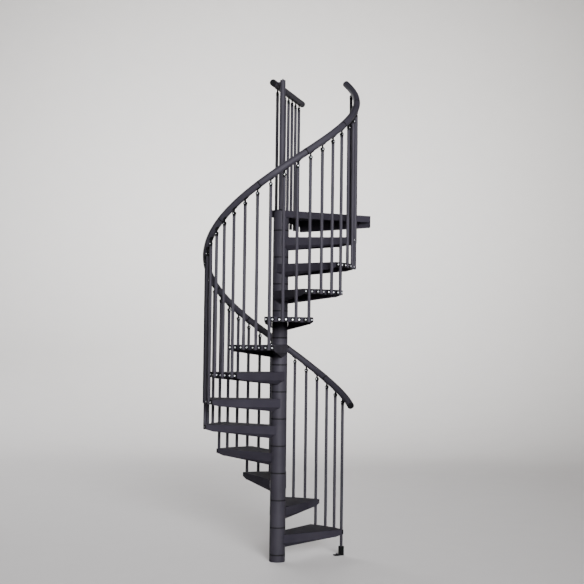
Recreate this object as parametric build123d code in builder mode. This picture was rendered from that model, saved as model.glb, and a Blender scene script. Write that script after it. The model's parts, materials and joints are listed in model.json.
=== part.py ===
from build123d import *
from math import acos, asin, atan2, cos, degrees, hypot, radians, sin, tan
import os

# A one-storey spiral staircase of coated sheet steel and tube.
# The origin is on the column's axis at the floor and +Z is up.
# Seen from above, the stair climbs anticlockwise.
# A place on the plan is given by its azimuth in degrees from +X and its radius from the column's axis.

# Driving dimensions: the climb
RISE = 216.0
TREAD_COUNT = 12
TREAD_TURN = 29.2
FIRST_TREAD_AZIMUTH = 44.4
BALUSTERS_PER_TREAD = 3

# Driving dimensions: the column
HUB_OD = 127.0
HUB_WALL = 3.0
POLE_OD = 46.0
POLE_WALL = 4.0
POLE_ABOVE_GUARD_RAIL = 11.0
SPACER_THICKNESS = 7.0
SPACER_OD = 124.0
TUBE_ABOVE_TREAD = 56.0
BASE_PLATE = 8.0
BASE_WALL = 5.0
BASE_BOLT_CIRCLE = 88.0
BASE_BOLT_HOLE = 12.0
POST_CAP_RIM = 5.0
POST_CAP_CHAMFER = 2.0
POST_CAP_KNOB_OD = 20.0
POST_CAP_KNOB_TIP = 8.0
POST_CAP_KNOB = 12.0

# Driving dimensions: the treads
SHEET = 3.0
TREAD_HALF_ANGLE = 18.4
OUTER_FLANGE = 40.0
SIDE_FLANGE_OUTER = 56.0
SIDE_FLANGE_ROOT = 69.0
SIDE_FLANGE_KNEE = 62.0
LIP_DROP = 39.0
LIP_ANGLE = 45.0
LIP_RUN_OUT = 8.0

# Driving dimensions: the balusters and the handrail
BALUSTER_CIRCLE = 600.0
BALUSTER_OD = 25.0
BALUSTER_WALL = 1.5
BALUSTER_BELOW_TREAD = 38.0
RAIL_OD = 56.0
RAIL_WALL = 2.0
RAIL_OVER_TREAD = 1178.0
RAIL_LOW_EASE = 67.0
RAIL_LOW_EASE_STEPS = 5.5
RAIL_HIGH_EASE = 35.0
RAIL_HIGH_EASE_STEPS = 15.0
RAIL_LOW_OVERRUN = 1.6
RAIL_HIGH_OVERRUN = 0.93
RAIL_LENGTH_STEPS = 3.5
RAIL_JOINTS = 10
RAIL_TOP_JOINT_STEPS = 2.35
RAIL_JOINT_RING = 4.5
RAIL_CURVE_STEPS = 8
RAIL_CAP = 8.0
RAIL_CAP_ROUND = 3.0
SWIVEL_OD = 27.0
SWIVEL_LENGTH = 84.0
SWIVEL_CUP = 12.0
KNUCKLE_OD = 27.0
KNUCKLE_WIDTH = 18.0
KNUCKLE_HEIGHT = 19.5
SWIVEL_TAB_WIDTH = 13.0
SWIVEL_TAB_DEPTH = 12.0
SADDLE_WIDTH = 28.0
SADDLE_THICKNESS = 4.0
SADDLE_DOWNHILL = 10.0
SADDLE_UPHILL = 34.0
CLIP_HEIGHT = 36.0
CLIP_DROP = 20.6
CLIP_THICKNESS = 13.8
CLIP_WEB = 2.4
CLIP_HALF_LENGTH = 38.5

# Driving dimensions: the foot of the lowest baluster
FOOT_WIDTH = 34.0
FOOT_HEIGHT = 75.0
FOOT_TOE = 50.0
FOOT_TOE_THICKNESS = 10.0
FOOT_POCKET_FLOOR = 8.0

# Driving dimensions: the landing and its guard rail
LANDING_FRONT_LENGTH = 800.0
LANDING_RAIL_AZIMUTH = 75.0
LANDING_SIDE_LENGTH = 815.0
LANDING_APEX_BACK = 85.0
LANDING_SIDE_FLANGE = 55.0
LANDING_SIDE_CORNER = 20.0
LANDING_OUTER_FLANGE = 100.0
LANDING_OUTER_CORNER = 14.0
ANCHOR_HOLE = 14.0
ANCHOR_DROP = 68.0
ANCHOR_INSET = 107.0
GUARD_RAIL_HEIGHT = 1050.0
GUARD_RAIL_START = 0.0
GUARD_RAIL_LENGTH = 897.0
GUARD_BALUSTERS = 7
GUARD_FIRST = 128.0
GUARD_SPACING = 111.6
GUARD_BALUSTER_BELOW = 96.0
GUARD_PEG_OD = 12.0
GUARD_PEG_AT = 12.0

# Clearances
WELD_GAP = 0.2
SLIDE_GAP = 0.2
SEAT_GAP = 0.5
SADDLE_GAP = 1.0

# Sizes that follow from the driving dimensions
HUB_R = HUB_OD / 2
POLE_R = POLE_OD / 2
RAIL_R = RAIL_OD / 2
BALUSTER_R = BALUSTER_OD / 2
BALUSTER_STEP = TREAD_TURN / BALUSTERS_PER_TREAD
BALUSTER_TOTAL = TREAD_COUNT * BALUSTERS_PER_TREAD + 1
FIRST_BALUSTER_AZIMUTH = FIRST_TREAD_AZIMUTH - TREAD_TURN / 2
LAST_BALUSTER_AZIMUTH = FIRST_BALUSTER_AZIMUTH + (BALUSTER_TOTAL - 1) * BALUSTER_STEP
RISE_TO_FIRST_SPACER = TUBE_ABOVE_TREAD - SPACER_THICKNESS / 2
TREAD_R = BALUSTER_CIRCLE - BALUSTER_R - CLIP_WEB - WELD_GAP
LANDING_TOP = (TREAD_COUNT + 1) * RISE
POLE_TOP = LANDING_TOP + GUARD_RAIL_HEIGHT + POLE_ABOVE_GUARD_RAIL
EDGE_OFFSET = HUB_R + WELD_GAP + SHEET
EDGE_ANGLE = TREAD_HALF_ANGLE - degrees(asin(EDGE_OFFSET / TREAD_R))
EDGE_START = EDGE_OFFSET / cos(radians(EDGE_ANGLE))
CORNER_X = TREAD_R * cos(radians(TREAD_HALF_ANGLE))
CORNER_Y = TREAD_R * sin(radians(TREAD_HALF_ANGLE))
EDGE_LENGTH = hypot(CORNER_X, CORNER_Y - EDGE_START)
KNEE_AT = EDGE_LENGTH - SIDE_FLANGE_KNEE
CLIMB_PER_DEGREE = RISE / TREAD_TURN
GUARD_OFFSET = EDGE_OFFSET + WELD_GAP + CLIP_WEB + BALUSTER_R
RAIL_LOW_END = FIRST_BALUSTER_AZIMUTH - RAIL_LOW_OVERRUN * BALUSTER_STEP
RAIL_HIGH_END = LAST_BALUSTER_AZIMUTH + RAIL_HIGH_OVERRUN * BALUSTER_STEP
RAIL_LAST_JOINT = LAST_BALUSTER_AZIMUTH - RAIL_TOP_JOINT_STEPS * BALUSTER_STEP
RAIL_FIRST_JOINT = RAIL_LAST_JOINT - (RAIL_JOINTS - 1) * RAIL_LENGTH_STEPS * BALUSTER_STEP


def tread_azimuth(number):
    """The azimuth of the middle of a tread, the lowest being number 1."""
    return FIRST_TREAD_AZIMUTH + (number - 1) * TREAD_TURN


def tread_top(number):
    """The height of a tread's walking surface."""
    return number * RISE


def baluster_azimuth(index):
    """The azimuth of a baluster, index 0 being the lowest, at the front corner of tread 1."""
    return FIRST_BALUSTER_AZIMUTH + index * BALUSTER_STEP


def rail_height(azimuth):
    """The height of the handrail's centre line, a helix whose two ends ease toward the level."""
    helix = RAIL_OVER_TREAD + RISE + (azimuth - FIRST_TREAD_AZIMUTH) * CLIMB_PER_DEGREE
    below = max(0.0, 1 - (azimuth - RAIL_LOW_END) / (RAIL_LOW_EASE_STEPS * BALUSTER_STEP))
    above = max(0.0, 1 - (RAIL_HIGH_END - azimuth) / (RAIL_HIGH_EASE_STEPS * BALUSTER_STEP))
    return helix + RAIL_LOW_EASE * below**2 - RAIL_HIGH_EASE * above**2


def polar(radius, azimuth, height=0.0):
    """A point from its radius, azimuth and height."""
    return Vector(radius * cos(radians(azimuth)), radius * sin(radians(azimuth)), height)


def turned(azimuth, height=0.0, radius=0.0):
    """A level plane whose X axis points outward along the azimuth."""
    return Plane(origin=polar(radius, azimuth, height), x_dir=polar(1, azimuth), z_dir=(0, 0, 1))


def upright(origin, azimuth):
    """An upright plane whose X axis runs level along the azimuth and whose Y axis is up."""
    return Plane(origin=origin, x_dir=polar(1, azimuth), z_dir=polar(1, azimuth - 90))


def save(label, pieces):
    """Write one node from its pieces."""
    solids = [solid for piece in pieces for solid in piece.solids()]
    node = solids[0] if len(solids) == 1 else Compound(children=solids)
    node.label = label
    export_step(node, f"parts/{label}.step")


def tube(outer, wall, bottom, top, plane=Plane.XY):
    """A round tube standing on a plane between two heights."""
    with BuildPart() as pipe:
        with BuildSketch(plane.offset(bottom)):
            Circle(outer / 2)
            Circle(outer / 2 - wall, mode=Mode.SUBTRACT)
        extrude(amount=top - bottom)
    return pipe.part


def base_socket():
    """The short cup that is bolted to the floor and carries the column."""
    with BuildPart() as socket:
        with BuildSketch():
            Circle(HUB_R)
        extrude(amount=RISE_TO_FIRST_SPACER)
        with BuildSketch(Plane.XY.offset(BASE_PLATE)):
            Circle(HUB_R - BASE_WALL)
        extrude(amount=RISE_TO_FIRST_SPACER, mode=Mode.SUBTRACT)
        with BuildSketch():
            with PolarLocations(BASE_BOLT_CIRCLE / 2, 4, start_angle=45):
                Circle(BASE_BOLT_HOLE / 2)
        extrude(amount=BASE_PLATE, mode=Mode.SUBTRACT)
    return socket.part


def spacer(bottom):
    """The dark disc that parts two column tubes and centres them on the pole."""
    with BuildPart() as disc:
        with BuildSketch(Plane.XY.offset(bottom)):
            Circle(SPACER_OD / 2)
            Circle(POLE_R + SLIDE_GAP, mode=Mode.SUBTRACT)
        extrude(amount=SPACER_THICKNESS)
    return disc.part


def post_cap():
    """The flat cap with a small pointed knob that closes the pole's top."""
    with BuildPart() as cap:
        with BuildSketch(Plane.XZ):
            with BuildLine():
                rim = POLE_TOP + POST_CAP_RIM
                Polyline(
                    (0, POLE_TOP),
                    (POLE_R, POLE_TOP),
                    (POLE_R, rim - POST_CAP_CHAMFER),
                    (POLE_R - POST_CAP_CHAMFER, rim),
                    (POST_CAP_KNOB_OD / 2, rim),
                    (POST_CAP_KNOB_TIP / 2, rim + POST_CAP_KNOB),
                    (0, rim + POST_CAP_KNOB),
                    close=True,
                )
            make_face()
        revolve(axis=Axis.Z)
    return cap.part


def side_flange(plane, side):
    """The upright side of a tray along one edge, deeper at the hub and cut off aslant at its outer end."""
    with BuildPart() as flange:
        with BuildSketch(plane):
            Polygon(
                (0, 0),
                (EDGE_LENGTH, 0),
                (EDGE_LENGTH, -OUTER_FLANGE),
                (KNEE_AT, -SIDE_FLANGE_OUTER),
                (0, -SIDE_FLANGE_ROOT),
                align=None,
            )
        extrude(amount=side * SHEET)
    return flange.part


def folded_lip(plane, side):
    """The strip folded inward from a side's lower edge, wide at the hub and running out to nothing."""
    slope = Vector(KNEE_AT, SIDE_FLANGE_ROOT - SIDE_FLANGE_OUTER)
    along = plane.x_dir * slope.X + plane.y_dir * slope.Y
    inward = plane.z_dir * side
    fold = inward * sin(radians(LIP_ANGLE)) - plane.y_dir * cos(radians(LIP_ANGLE))
    start = plane.origin - plane.y_dir * (SIDE_FLANGE_ROOT - SHEET / 2)
    sheet = Plane(origin=start, x_dir=along, z_dir=along.cross(fold))
    width = LIP_DROP / cos(radians(LIP_ANGLE))
    with BuildPart() as lip:
        with BuildSketch(sheet):
            Polygon((0, 0), (KNEE_AT - LIP_RUN_OUT, 0), (0, width), align=None)
        extrude(amount=-side * SHEET)
    return lip.part


def tread(number):
    """One fan-shaped tray: top sheet, curved outer flange and two side flanges with folded lips."""
    azimuth = tread_azimuth(number)
    plane = turned(azimuth, tread_top(number))
    sides = []
    for side in (-1, 1):
        start = plane.from_local_coords((0, side * EDGE_START, 0))
        edge = upright(start, azimuth + side * EDGE_ANGLE)
        sides.append(side_flange(edge, side))
        sides.append(folded_lip(edge, side))
    with BuildPart() as tray:
        with BuildSketch(plane):
            with BuildLine():
                Line((0, -EDGE_START), (CORNER_X, -CORNER_Y))
                ThreePointArc((CORNER_X, -CORNER_Y), (TREAD_R, 0), (CORNER_X, CORNER_Y))
                Polyline((CORNER_X, CORNER_Y), (0, EDGE_START), (0, -EDGE_START))
            make_face()
        extrude(amount=-SHEET)
        with BuildSketch(plane):
            with BuildLine():
                ThreePointArc((CORNER_X, -CORNER_Y), (TREAD_R, 0), (CORNER_X, CORNER_Y))
                inner = (TREAD_R - SHEET) / TREAD_R
                Line((CORNER_X, CORNER_Y), (CORNER_X * inner, CORNER_Y * inner))
                ThreePointArc(
                    (CORNER_X * inner, CORNER_Y * inner),
                    (TREAD_R - SHEET, 0),
                    (CORNER_X * inner, -CORNER_Y * inner),
                )
                Line((CORNER_X * inner, -CORNER_Y * inner), (CORNER_X, -CORNER_Y))
            make_face()
        extrude(amount=-OUTER_FLANGE)
        add(sides)
        with BuildSketch(plane):
            Circle(HUB_R + WELD_GAP)
        extrude(amount=-2 * SIDE_FLANGE_ROOT, mode=Mode.SUBTRACT)
    return tray.part


def landing_point(along, offset):
    """A point on the plan by its distance along the landing's rail side and its offset to the left."""
    return polar(along, LANDING_RAIL_AZIMUTH) + polar(offset, LANDING_RAIL_AZIMUTH + 90)


def landing_flange(start, end, depth, corner, inward, holes=()):
    """An upright flange between two corners of the landing, with rounded lower corners and its bolt holes."""
    run = end - start
    with BuildPart() as flange:
        with BuildSketch(upright(start, degrees(atan2(run.Y, run.X)))) as outline:
            Rectangle(run.length, depth, align=(Align.MIN, Align.MAX))
            fillet(outline.vertices().group_by(Axis.Y)[0], corner)
            for place in holes:
                with Locations((place, -ANCHOR_DROP)):
                    Circle(ANCHOR_HOLE / 2, mode=Mode.SUBTRACT)
        extrude(amount=inward * SHEET)
    return flange.part


def landing_outline():
    """The landing's corners: hub left, hub right, front end, far end. Three of its sides touch the hub."""
    hub_left = landing_point(-LANDING_APEX_BACK, EDGE_OFFSET)
    reach = EDGE_OFFSET + SLIDE_GAP + BALUSTER_R
    front = LAST_BALUSTER_AZIMUTH - 360 + degrees(asin(reach / BALUSTER_CIRCLE))
    spread = degrees(acos(EDGE_OFFSET / hub_left.length))
    apex_normal = degrees(atan2(hub_left.Y, hub_left.X)) + spread
    half = (front - 90 - apex_normal) / 2
    hub_right = polar(EDGE_OFFSET / cos(radians(half)), apex_normal + half)
    front_end = polar(EDGE_OFFSET, front - 90) + polar(LANDING_FRONT_LENGTH, front)
    far_end = landing_point(LANDING_SIDE_LENGTH, EDGE_OFFSET)
    level = Vector(0, 0, LANDING_TOP)
    return [corner + level for corner in (hub_left, hub_right, front_end, far_end)]


def landing():
    """The top tray: a wedge from the hub to the floor edge, with two shallow flanges and a deep outer one."""
    hub_left, hub_right, front_end, far_end = landing_outline()
    width = (far_end - front_end).length
    anchors = (ANCHOR_INSET, width / 2, width - ANCHOR_INSET)
    flanges = [
        landing_flange(hub_right, front_end, LANDING_SIDE_FLANGE, LANDING_SIDE_CORNER, -1),
        landing_flange(hub_left, far_end, LANDING_SIDE_FLANGE, LANDING_SIDE_CORNER, 1),
        landing_flange(front_end, far_end, LANDING_OUTER_FLANGE, LANDING_OUTER_CORNER, -1, anchors),
    ]
    plane = Plane.XY.offset(LANDING_TOP)
    with BuildPart() as tray:
        with BuildSketch(plane):
            Polygon(*[(corner.X, corner.Y) for corner in landing_outline()], align=None)
        extrude(amount=-SHEET)
        add(flanges)
        with BuildSketch(plane):
            beyond = [
                landing_point(along, offset)
                for along, offset in (
                    (0, EDGE_OFFSET),
                    (2 * LANDING_SIDE_LENGTH, EDGE_OFFSET),
                    (2 * LANDING_SIDE_LENGTH, EDGE_OFFSET + LANDING_OUTER_FLANGE),
                    (0, EDGE_OFFSET + LANDING_OUTER_FLANGE),
                )
            ]
            Polygon(*[(corner.X, corner.Y) for corner in beyond], align=None)
        extrude(amount=-LANDING_OUTER_FLANGE, mode=Mode.SUBTRACT)
        with BuildSketch(plane):
            Circle(POLE_R + SLIDE_GAP)
        extrude(amount=-SHEET, mode=Mode.SUBTRACT)
        with BuildSketch(plane.offset(-SHEET)):
            Circle(HUB_R + WELD_GAP)
        extrude(amount=-LANDING_OUTER_FLANGE, mode=Mode.SUBTRACT)
    return tray.part


def baluster(index):
    """One upright tube from the last tread that it is fixed to up to the handrail's swivel."""
    azimuth = baluster_azimuth(index)
    lowest = -(-index // BALUSTERS_PER_TREAD)
    bottom = tread_top(lowest) - BALUSTER_BELOW_TREAD if lowest else FOOT_POCKET_FLOOR
    top = rail_height(azimuth) - SWIVEL_LENGTH
    return tube(BALUSTER_OD, BALUSTER_WALL, bottom, top, turned(azimuth, 0, BALUSTER_CIRCLE))


def swivel(place, azimuth, slope):
    """A swivel on a baluster's top: cup, round knuckle, flat tab and a saddle under the sloping rail."""
    up = Vector(0, 0, 1)
    seat = Plane(origin=place, x_dir=polar(1, azimuth), z_dir=up)
    knuckle = Plane(origin=place + up * KNUCKLE_HEIGHT, x_dir=polar(1, azimuth), z_dir=polar(1, azimuth - 90))
    along = polar(cos(radians(slope)), azimuth, sin(radians(slope)))
    middle = place + up * SWIVEL_LENGTH
    cross = Plane(origin=middle, x_dir=polar(1, azimuth - 90), z_dir=along)
    with BuildPart() as joint:
        with BuildSketch(seat):
            Circle(SWIVEL_OD / 2)
        extrude(amount=SWIVEL_CUP)
        with BuildSketch(knuckle):
            Circle(KNUCKLE_OD / 2)
        extrude(amount=KNUCKLE_WIDTH / 2, both=True)
        with BuildSketch(seat.offset(KNUCKLE_HEIGHT)):
            Rectangle(SWIVEL_TAB_WIDTH, SWIVEL_TAB_DEPTH)
        extrude(amount=SWIVEL_LENGTH - KNUCKLE_HEIGHT)
        with BuildSketch(cross.offset(-RAIL_OD)):
            Circle(RAIL_R + SEAT_GAP)
        extrude(amount=2 * RAIL_OD, mode=Mode.SUBTRACT)
        contact = -RAIL_R * tan(radians(slope))
        with BuildSketch(cross.offset(contact - SADDLE_DOWNHILL)):
            Circle(RAIL_R + SADDLE_GAP + SADDLE_THICKNESS)
            Rectangle(SADDLE_WIDTH, RAIL_OD, align=(Align.CENTER, Align.MIN), mode=Mode.INTERSECT)
            Circle(RAIL_R + SADDLE_GAP, mode=Mode.SUBTRACT)
        extrude(amount=SADDLE_DOWNHILL + SADDLE_UPHILL)
    return joint.part.solids().sort_by(Axis.Z)[0]


def rail_slope(azimuth):
    """The handrail's slope in degrees at an azimuth."""
    climb = rail_height(azimuth + 0.5) - rail_height(azimuth - 0.5)
    return degrees(atan2(climb, radians(1) * BALUSTER_CIRCLE))


def rail_direction(azimuth):
    """The direction in which the handrail climbs at an azimuth."""
    slope = radians(rail_slope(azimuth))
    return polar(cos(slope), azimuth + 90, sin(slope))


def rail_plane(azimuth):
    """The plane square across the handrail at an azimuth, with its Z axis running up along the rail."""
    origin = polar(BALUSTER_CIRCLE, azimuth, rail_height(azimuth))
    return Plane(origin=origin, x_dir=polar(1, azimuth), z_dir=rail_direction(azimuth))


def flight_swivel(index):
    """The dark swivel on one baluster of the flight."""
    azimuth = baluster_azimuth(index)
    place = polar(BALUSTER_CIRCLE, azimuth, rail_height(azimuth) - SWIVEL_LENGTH)
    return swivel(place, azimuth + 90, rail_slope(azimuth))


def clip(azimuth, height):
    """The block between a baluster and a tread's curved flange, hollowed out to seat the baluster."""
    reach = degrees(CLIP_HALF_LENGTH / BALUSTER_CIRCLE)
    inner = TREAD_R + WELD_GAP / 2
    outer = inner + CLIP_THICKNESS
    with BuildPart() as plate:
        with BuildSketch(turned(azimuth, height - CLIP_HEIGHT / 2)):
            with BuildLine():
                low_in = polar(inner, -reach)
                low_out = polar(outer, -reach)
                high_in = polar(inner, reach)
                high_out = polar(outer, reach)
                ThreePointArc(low_in, (inner, 0), high_in)
                Line(high_in, high_out)
                ThreePointArc(high_out, (outer, 0), low_out)
                Line(low_out, low_in)
            make_face()
            with Locations((BALUSTER_CIRCLE, 0)):
                Circle(BALUSTER_R + WELD_GAP / 2, mode=Mode.SUBTRACT)
        extrude(amount=CLIP_HEIGHT)
    return plate.part


def straight_clip(along, height):
    """The block between a guard baluster and the landing's flat flange, hollowed out to seat the baluster."""
    origin = landing_point(along, EDGE_OFFSET + WELD_GAP / 2) + Vector(0, 0, height - CLIP_HEIGHT / 2)
    plane = Plane(origin=origin, x_dir=polar(1, LANDING_RAIL_AZIMUTH), z_dir=(0, 0, 1))
    with BuildPart() as plate:
        with BuildSketch(plane):
            Rectangle(2 * CLIP_HALF_LENGTH, CLIP_THICKNESS, align=(Align.CENTER, Align.MIN))
            with Locations((0, GUARD_OFFSET - EDGE_OFFSET - WELD_GAP / 2)):
                Circle(BALUSTER_R + WELD_GAP / 2, mode=Mode.SUBTRACT)
        extrude(amount=CLIP_HEIGHT)
    return plate.part


def rail_joints():
    """The azimuths of the joints between the handrail's lengths, from the bottom up."""
    step = RAIL_LENGTH_STEPS * BALUSTER_STEP
    return [RAIL_FIRST_JOINT + number * step for number in range(RAIL_JOINTS)]


def rail_spans():
    """The first and last azimuth of each length of the handrail, which stop just short of the joint rings."""
    joints = rail_joints()
    run = RAIL_JOINT_RING / 2 + WELD_GAP / 2
    gaps = [degrees(run * cos(radians(rail_slope(joint))) / BALUSTER_CIRCLE) for joint in joints]
    starts = [RAIL_LOW_END] + [joint + gap for joint, gap in zip(joints, gaps)]
    ends = [joint - gap for joint, gap in zip(joints, gaps)] + [RAIL_HIGH_END]
    return list(zip(starts, ends))


def rail_length(low, high):
    """One length of the round handrail between two azimuths, swept along its centre line."""
    turns = [low + (high - low) * step / RAIL_CURVE_STEPS for step in range(RAIL_CURVE_STEPS + 1)]
    points = [polar(BALUSTER_CIRCLE, azimuth, rail_height(azimuth)) for azimuth in turns]
    with BuildPart() as length:
        with BuildLine() as path:
            Spline(*points, tangents=(rail_direction(low), rail_direction(high)))
        with BuildSketch(rail_plane(low)):
            Circle(RAIL_R)
            Circle(RAIL_R - RAIL_WALL, mode=Mode.SUBTRACT)
        sweep(path=path.line)
    return length.part


def joint_ring(azimuth):
    """The thin dark ring between two lengths of the handrail."""
    with BuildPart() as ring:
        with BuildSketch(rail_plane(azimuth)):
            Circle(RAIL_R)
        extrude(amount=RAIL_JOINT_RING / 2, both=True)
    return ring.part


def end_cap(plane):
    """The round cap that closes a rail's end, on a plane whose Z axis points out of the rail."""
    with BuildPart() as cap:
        with BuildSketch(plane):
            Circle(RAIL_R)
        extrude(amount=RAIL_CAP)
        fillet(cap.edges().sort_by(Axis(plane.origin, plane.z_dir))[-1], RAIL_CAP_ROUND)
    return cap.part


def floor_foot():
    """The L-shaped foot under the lowest baluster, its toe turned in toward the column."""
    plane = turned(baluster_azimuth(0), 0, BALUSTER_CIRCLE)
    with BuildPart() as foot:
        with BuildSketch(plane):
            Rectangle(FOOT_WIDTH, FOOT_WIDTH)
        extrude(amount=FOOT_HEIGHT)
        with BuildSketch(plane):
            with Locations((-FOOT_WIDTH / 2, 0)):
                Rectangle(FOOT_TOE, FOOT_WIDTH, align=(Align.MAX, Align.CENTER))
        extrude(amount=FOOT_TOE_THICKNESS)
        with BuildSketch(plane.offset(FOOT_POCKET_FLOOR)):
            Circle(BALUSTER_R + WELD_GAP / 2)
        extrude(amount=FOOT_HEIGHT, mode=Mode.SUBTRACT)
        with BuildSketch(plane):
            with Locations((-FOOT_WIDTH / 2 - FOOT_TOE / 2, 0)):
                Circle(BASE_BOLT_HOLE / 2)
        extrude(amount=FOOT_TOE_THICKNESS, mode=Mode.SUBTRACT)
    return foot.part


def guard_line(along):
    """The upright plane square across the guard rail, with its Z axis running outward along the rail."""
    origin = landing_point(along, GUARD_OFFSET) + Vector(0, 0, LANDING_TOP + GUARD_RAIL_HEIGHT)
    return Plane(origin=origin, x_dir=(0, 0, 1), z_dir=polar(1, LANDING_RAIL_AZIMUTH))


def guard_rail():
    """The straight level rail beside the landing."""
    return tube(RAIL_OD, RAIL_WALL, GUARD_RAIL_START, GUARD_RAIL_START + GUARD_RAIL_LENGTH, guard_line(0))


def guard_baluster(index):
    """One upright tube outside the landing's deep flange."""
    place = landing_point(GUARD_FIRST + index * GUARD_SPACING, GUARD_OFFSET)
    plane = Plane(origin=place, x_dir=(1, 0, 0), z_dir=(0, 0, 1))
    top = LANDING_TOP + GUARD_RAIL_HEIGHT - SWIVEL_LENGTH
    return tube(BALUSTER_OD, BALUSTER_WALL, LANDING_TOP - GUARD_BALUSTER_BELOW, top, plane)


def guard_swivel(index):
    """The dark swivel on one guard baluster."""
    place = landing_point(GUARD_FIRST + index * GUARD_SPACING, GUARD_OFFSET)
    height = LANDING_TOP + GUARD_RAIL_HEIGHT - SWIVEL_LENGTH
    return swivel(place + Vector(0, 0, height), LANDING_RAIL_AZIMUTH, 0)


def guard_peg():
    """The short peg that ties the guard rail to the pole."""
    height = LANDING_TOP + GUARD_RAIL_HEIGHT
    origin = landing_point(GUARD_PEG_AT, 0) + Vector(0, 0, height)
    across = Plane(origin=origin, x_dir=(0, 0, 1), z_dir=polar(1, LANDING_RAIL_AZIMUTH + 90))
    with BuildPart() as peg:
        with BuildSketch(across):
            Circle(GUARD_PEG_OD / 2)
        extrude(amount=GUARD_OFFSET)
        with BuildSketch(Plane.XY.offset(height - POLE_OD)):
            Circle(POLE_R + WELD_GAP)
        extrude(amount=2 * POLE_OD, mode=Mode.SUBTRACT)
        with BuildSketch(guard_line(-RAIL_OD)):
            Circle(RAIL_R + WELD_GAP)
        extrude(amount=3 * RAIL_OD, mode=Mode.SUBTRACT)
    return peg.part


os.makedirs("parts", exist_ok=True)

save("base_socket", [base_socket()])
save("centre_pole", [tube(POLE_OD, POLE_WALL, BASE_PLATE, POLE_TOP)])
save("post_cap", [post_cap()])
save(
    "column_spacers",
    [spacer(RISE_TO_FIRST_SPACER + number * RISE) for number in range(TREAD_COUNT + 1)],
)
save(
    "column_tubes",
    [
        tube(HUB_OD, HUB_WALL, bottom + SPACER_THICKNESS, bottom + RISE)
        for bottom in [RISE_TO_FIRST_SPACER + number * RISE for number in range(TREAD_COUNT)]
    ],
)
hub_bottom = RISE_TO_FIRST_SPACER + SPACER_THICKNESS + TREAD_COUNT * RISE
save("landing_hub", [tube(HUB_OD, HUB_WALL, hub_bottom, LANDING_TOP - SHEET)])
for number in range(1, TREAD_COUNT + 1):
    save(f"tread_{number:02d}", [tread(number)])
save("landing", [landing()])

quarter = TREAD_COUNT // 4 * BALUSTERS_PER_TREAD
for group in range(4):
    first = group * quarter
    last = BALUSTER_TOTAL if group == 3 else first + quarter
    save(f"balusters_{group + 1}", [baluster(index) for index in range(first, last)])
save("baluster_swivels", [flight_swivel(index) for index in range(BALUSTER_TOTAL)])
save(
    "baluster_clips",
    [
        clip(baluster_azimuth((number - 1) * BALUSTERS_PER_TREAD + index), tread_top(number) - CLIP_DROP)
        for number in range(1, TREAD_COUNT + 1)
        for index in range(BALUSTERS_PER_TREAD + 1)
    ],
)
save("floor_foot", [floor_foot()])

for number, (low, high) in enumerate(rail_spans(), 1):
    save(f"handrail_{number:02d}", [rail_length(low, high)])
save("handrail_joint_rings", [joint_ring(azimuth) for azimuth in rail_joints()])
save("handrail_caps", [end_cap(-rail_plane(RAIL_LOW_END)), end_cap(rail_plane(RAIL_HIGH_END))])

save("guard_rail", [guard_rail()])
save(
    "guard_rail_caps",
    [end_cap(-guard_line(GUARD_RAIL_START)), end_cap(guard_line(GUARD_RAIL_START + GUARD_RAIL_LENGTH))],
)
save("guard_balusters", [guard_baluster(index) for index in range(GUARD_BALUSTERS)])
save("guard_swivels", [guard_swivel(index) for index in range(GUARD_BALUSTERS)])
save(
    "guard_clips",
    [
        straight_clip(GUARD_FIRST + index * GUARD_SPACING, LANDING_TOP - CLIP_DROP)
        for index in range(GUARD_BALUSTERS)
    ],
)
save("guard_rail_peg", [guard_peg()])
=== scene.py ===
"""A one-storey spiral staircase of coated sheet steel and tube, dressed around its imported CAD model.

Lengths are in metres. The origin is on the column's axis at the floor, +Z is up, and the stair
climbs anticlockwise seen from above. An azimuth is counted from +X, in degrees in the sizes and in
radians in the formulas.
"""

import json
import logging
import math
from dataclasses import dataclass
from enum import Enum

import bmesh
import bpy
import numpy as np
from mathutils import Matrix


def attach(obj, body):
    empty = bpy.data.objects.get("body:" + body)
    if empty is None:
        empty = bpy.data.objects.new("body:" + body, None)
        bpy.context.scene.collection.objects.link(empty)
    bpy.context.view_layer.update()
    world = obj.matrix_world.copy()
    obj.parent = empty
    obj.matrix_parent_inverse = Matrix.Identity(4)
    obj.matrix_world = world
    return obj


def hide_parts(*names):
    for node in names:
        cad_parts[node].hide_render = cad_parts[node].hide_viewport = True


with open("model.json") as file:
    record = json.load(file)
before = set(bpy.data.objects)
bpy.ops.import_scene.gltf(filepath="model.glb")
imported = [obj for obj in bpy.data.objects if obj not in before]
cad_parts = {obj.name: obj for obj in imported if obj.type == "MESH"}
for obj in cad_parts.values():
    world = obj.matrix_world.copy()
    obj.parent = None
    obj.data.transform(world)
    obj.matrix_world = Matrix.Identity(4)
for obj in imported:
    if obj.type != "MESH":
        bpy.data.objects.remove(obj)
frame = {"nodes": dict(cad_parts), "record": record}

logging.basicConfig(level=logging.INFO, format="%(message)s")
LOG = logging.getLogger("spiral_stair")
Array = np.ndarray
Point = tuple[float, float, float]
Material, Tree, Socket = bpy.types.Material, bpy.types.NodeTree, bpy.types.NodeSocket
TAU = 2 * math.pi
UP = np.array([0.0, 0.0, 1.0])
# how far a screw head or a painted shadow dot reaches into the face that it sits on
SEAT_LAP = 0.0004
NOISE, MIX, RANGE = "ShaderNodeTexNoise", "ShaderNodeMix", "ShaderNodeMapRange"
# the sockets of a Mix node that mixes colours
FACTOR, FIRST, SECOND, MIXED = 0, 6, 7, 2


# colours and nodes


def linear(shade: str) -> tuple[float, float, float, float]:
    """An sRGB hex colour as linear RGBA.

    Args:
        shade: six hex digits after a hash sign.

    Returns:
        Red, green, blue and an alpha of one, each from 0 to 1.
    """
    parts = [int(shade[i : i + 2], 16) / 255 for i in (1, 3, 5)]
    curve = [p / 12.92 if p <= 0.04045 else ((p + 0.055) / 1.055) ** 2.4 for p in parts]
    return (*curve, 1.0)


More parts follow.
